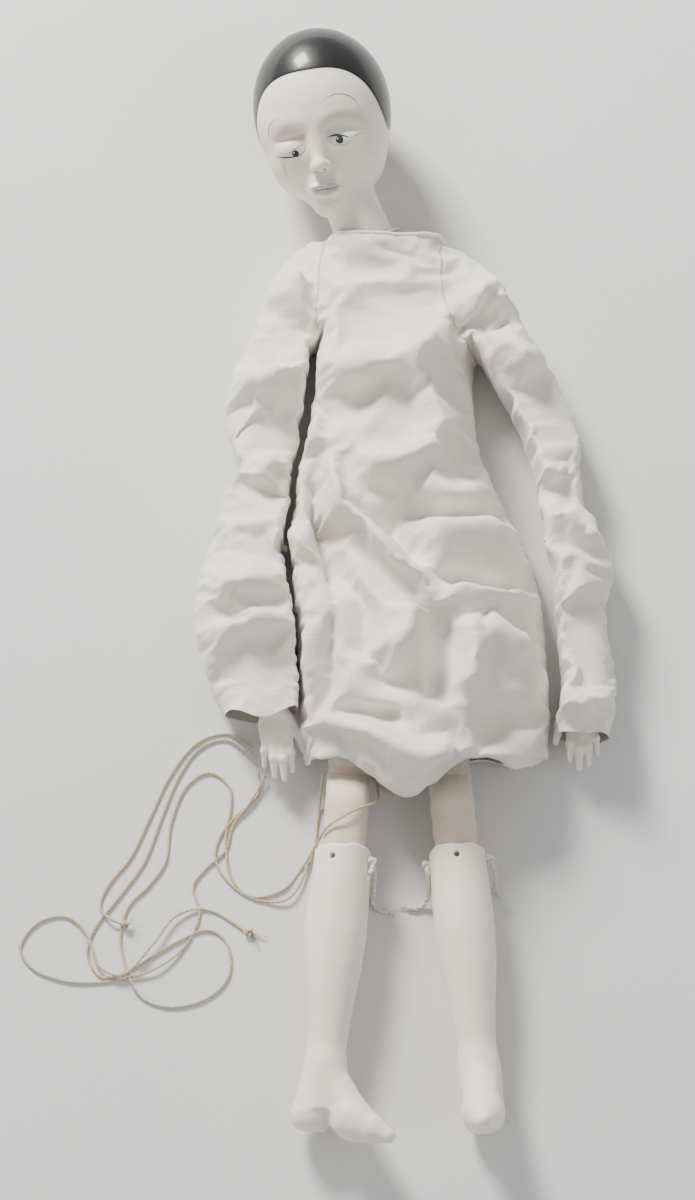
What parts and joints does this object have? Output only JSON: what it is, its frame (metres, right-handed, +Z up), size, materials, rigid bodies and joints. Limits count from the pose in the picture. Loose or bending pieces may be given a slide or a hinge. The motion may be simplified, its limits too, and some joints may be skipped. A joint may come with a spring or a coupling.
{
  "type": "marionette puppet",
  "caption": "Marionette clown puppet with a cast head, hands and boots on a jointed stuffed cloth body in a loose gown, with its control strings.",
  "frame": {"origin": "centre of the puppet's box, strings left out, on the surface that it lies on", "axes": "+Z up, +Y along the body towards the head, +X to the puppet's left"},
  "size_m": [0.2613, 0.5102, 0.0749],
  "materials": {
    "bisque": "matte",
    "calico": "matte",
    "filling": "matte",
    "linen": "satin",
    "cotton": "matte",
    "string": "matte"
  },
  "bodies": {
    "torso": {"torso_cover": "calico", "torso_filling": "filling", "gown_front": "linen", "gown_back": "linen", "neckband": "linen", "string_1": "string", "string_2": "string", "string_3": "string", "string_4": "string", "string_knots": "string"},
    "neck": {"neck_cloth": "calico", "neck_tie": "cotton"},
    "head": {"head": "bisque"},
    "shoulder_r": {"shoulder_gusset_r": "calico"},
    "upper_arm_r": {"upper_arm_cover_r": "calico", "upper_arm_filling_r": "filling", "sleeve_upper_r": "linen"},
    "forearm_r": {"forearm_cover_r": "calico", "forearm_filling_r": "filling", "arm_tie_r": "cotton", "hand_r": "bisque", "sleeve_lower_r": "linen"},
    "hip_r": {"hip_gusset_r": "calico"},
    "thigh_r": {"thigh_cover_r": "calico", "thigh_filling_r": "filling"},
    "calf_r": {"calf_cover_r": "calico", "calf_filling_r": "filling", "boot_r": "bisque", "boot_tie_r": "cotton"},
    "shoulder_l": {"shoulder_gusset_l": "calico"},
    "upper_arm_l": {"upper_arm_cover_l": "calico", "upper_arm_filling_l": "filling", "sleeve_upper_l": "linen"},
    "forearm_l": {"forearm_cover_l": "calico", "forearm_filling_l": "filling", "arm_tie_l": "cotton", "hand_l": "bisque", "sleeve_lower_l": "linen"},
    "hip_l": {"hip_gusset_l": "calico"},
    "thigh_l": {"thigh_cover_l": "calico", "thigh_filling_l": "filling"},
    "calf_l": {"calf_cover_l": "calico", "calf_filling_l": "filling", "boot_l": "bisque", "boot_tie_l": "cotton"}
  },
  "joints": [
    {"name": "head_turn", "type": "hinge", "parent": "torso", "child": "neck", "pos_m": [-0.015, 0.159, 0.02], "axis": [-0.3771, 0.847, 0.3746], "range_deg": [-25, 25], "deforming": ["gown_front", "neckband"]},
    {"name": "head_nod", "type": "hinge", "parent": "neck", "child": "head", "pos_m": [-0.015, 0.159, 0.02], "axis": [1, 0, 0], "range_deg": [-18, 18], "deforming": ["gown_front", "neckband"]},
    {"name": "shoulder_swing_r", "type": "hinge", "parent": "torso", "child": "shoulder_r", "pos_m": [-0.042, 0.149, 0.015], "axis": [-1, 0, 0], "range_deg": [-30, 90], "deforming": ["sleeve_upper_r", "sleeve_lower_r", "gown_front", "gown_back", "string_1", "string_2", "string_3", "string_4"]},
    {"name": "shoulder_spread_r", "type": "hinge", "parent": "shoulder_r", "child": "upper_arm_r", "pos_m": [-0.042, 0.149, 0.015], "axis": [0, 0, -1], "range_deg": [0, 60], "deforming": ["sleeve_upper_r", "sleeve_lower_r", "gown_front", "gown_back", "string_1", "string_2", "string_3", "string_4"]},
    {"name": "elbow_r", "type": "hinge", "parent": "upper_arm_r", "child": "forearm_r", "pos_m": [-0.06413, 0.04023, 0.015], "axis": [-0.9799, 0.1994, 0], "range_deg": [-10, 100], "deforming": ["sleeve_upper_r", "sleeve_lower_r", "gown_front", "gown_back", "string_1", "string_2", "string_3", "string_4"]},
    {"name": "hip_flex_r", "type": "hinge", "parent": "torso", "child": "hip_r", "pos_m": [-0.02, 0.009, 0.0135], "axis": [-1, 0, 0], "range_deg": [-20, 90], "deforming": ["gown_front", "gown_back", "string_1", "string_2", "string_3", "string_4"]},
    {"name": "hip_spread_r", "type": "hinge", "parent": "hip_r", "child": "thigh_r", "pos_m": [-0.02, 0.009, 0.0135], "axis": [0, 0, -1], "range_deg": [0, 6], "deforming": ["gown_front", "gown_back", "sleeve_lower_r", "string_1", "string_2", "string_3", "string_4"]},
    {"name": "knee_r", "type": "hinge", "parent": "thigh_r", "child": "calf_r", "pos_m": [-0.02297, -0.09096, 0.0135], "axis": [-0.9996, 0.0297, 0], "range_deg": [-95, 30], "deforming": ["gown_front", "gown_back", "string_1", "string_2", "string_3", "string_4"]},
    {"name": "shoulder_swing_l", "type": "hinge", "parent": "torso", "child": "shoulder_l", "pos_m": [0.028, 0.147, 0.015], "axis": [-1, 0, 0], "range_deg": [-30, 90], "deforming": ["sleeve_upper_l", "sleeve_lower_l", "gown_front", "gown_back"]},
    {"name": "shoulder_spread_l", "type": "hinge", "parent": "shoulder_l", "child": "upper_arm_l", "pos_m": [0.028, 0.147, 0.015], "axis": [0, 0, 1], "range_deg": [0, 60], "deforming": ["sleeve_upper_l", "sleeve_lower_l", "gown_front", "gown_back"]},
    {"name": "elbow_l", "type": "hinge", "parent": "upper_arm_l", "child": "forearm_l", "pos_m": [0.07315, 0.0456, 0.015], "axis": [-0.9135, -0.4067, 0], "range_deg": [-10, 100], "deforming": ["sleeve_upper_l", "sleeve_lower_l", "gown_front", "gown_back"]},
    {"name": "hip_flex_l", "type": "hinge", "parent": "torso", "child": "hip_l", "pos_m": [0.016, 0.009, 0.0135], "axis": [-1, 0, 0], "range_deg": [-20, 90], "deforming": ["gown_front", "gown_back"]},
    {"name": "hip_spread_l", "type": "hinge", "parent": "hip_l", "child": "thigh_l", "pos_m": [0.016, 0.009, 0.0135], "axis": [0, 0, 1], "range_deg": [0, 20], "deforming": ["gown_front", "gown_back", "sleeve_lower_l"]},
    {"name": "knee_l", "type": "hinge", "parent": "thigh_l", "child": "calf_l", "pos_m": [0.02001, -0.09092, 0.0135], "axis": [-0.9992, -0.0401, 0], "range_deg": [-95, 30], "deforming": ["gown_front", "gown_back"]}
  ]
}
